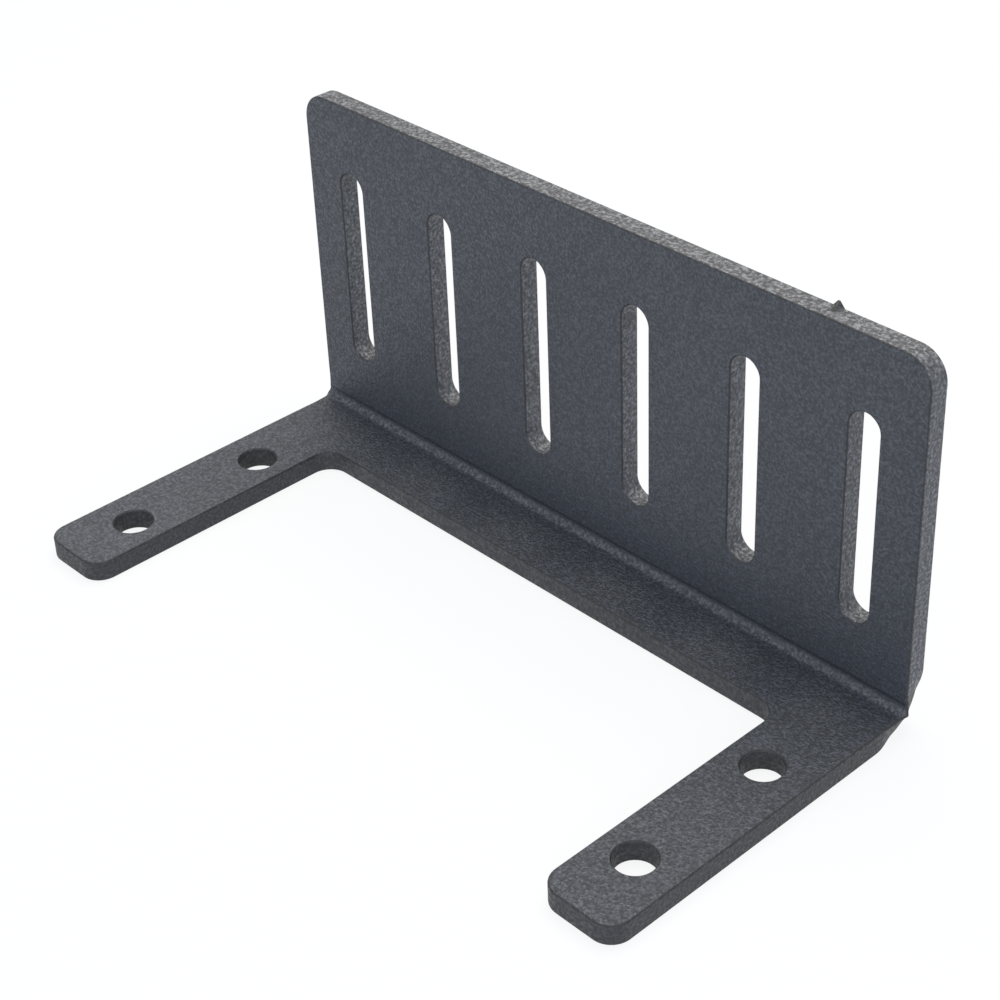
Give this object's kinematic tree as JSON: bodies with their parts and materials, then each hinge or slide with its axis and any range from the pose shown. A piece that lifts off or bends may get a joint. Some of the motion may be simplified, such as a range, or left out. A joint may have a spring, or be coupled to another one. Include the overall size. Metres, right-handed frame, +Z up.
{
  "type": "motor mounting bracket",
  "caption": "Folded steel plate bracket: an upright flange with vertical adjusting slots on a U-shaped base with bolt holes in both arms.",
  "frame": {"origin": "under the middle of the bracket, on the plane its base stands on, centred on its overall length and depth", "axes": "+X along the fold, the longest way; +Y from the arm ends towards the upright flange; +Z up, away from the surface the base is bolted to"},
  "size_m": [0.1108, 0.0546, 0.0538],
  "materials": {
    "powder_coat": "fine sand-textured black powder coat, matt"
  },
  "bodies": {
    "root": {"bracket": "powder_coat"}
  },
  "joints": []
}
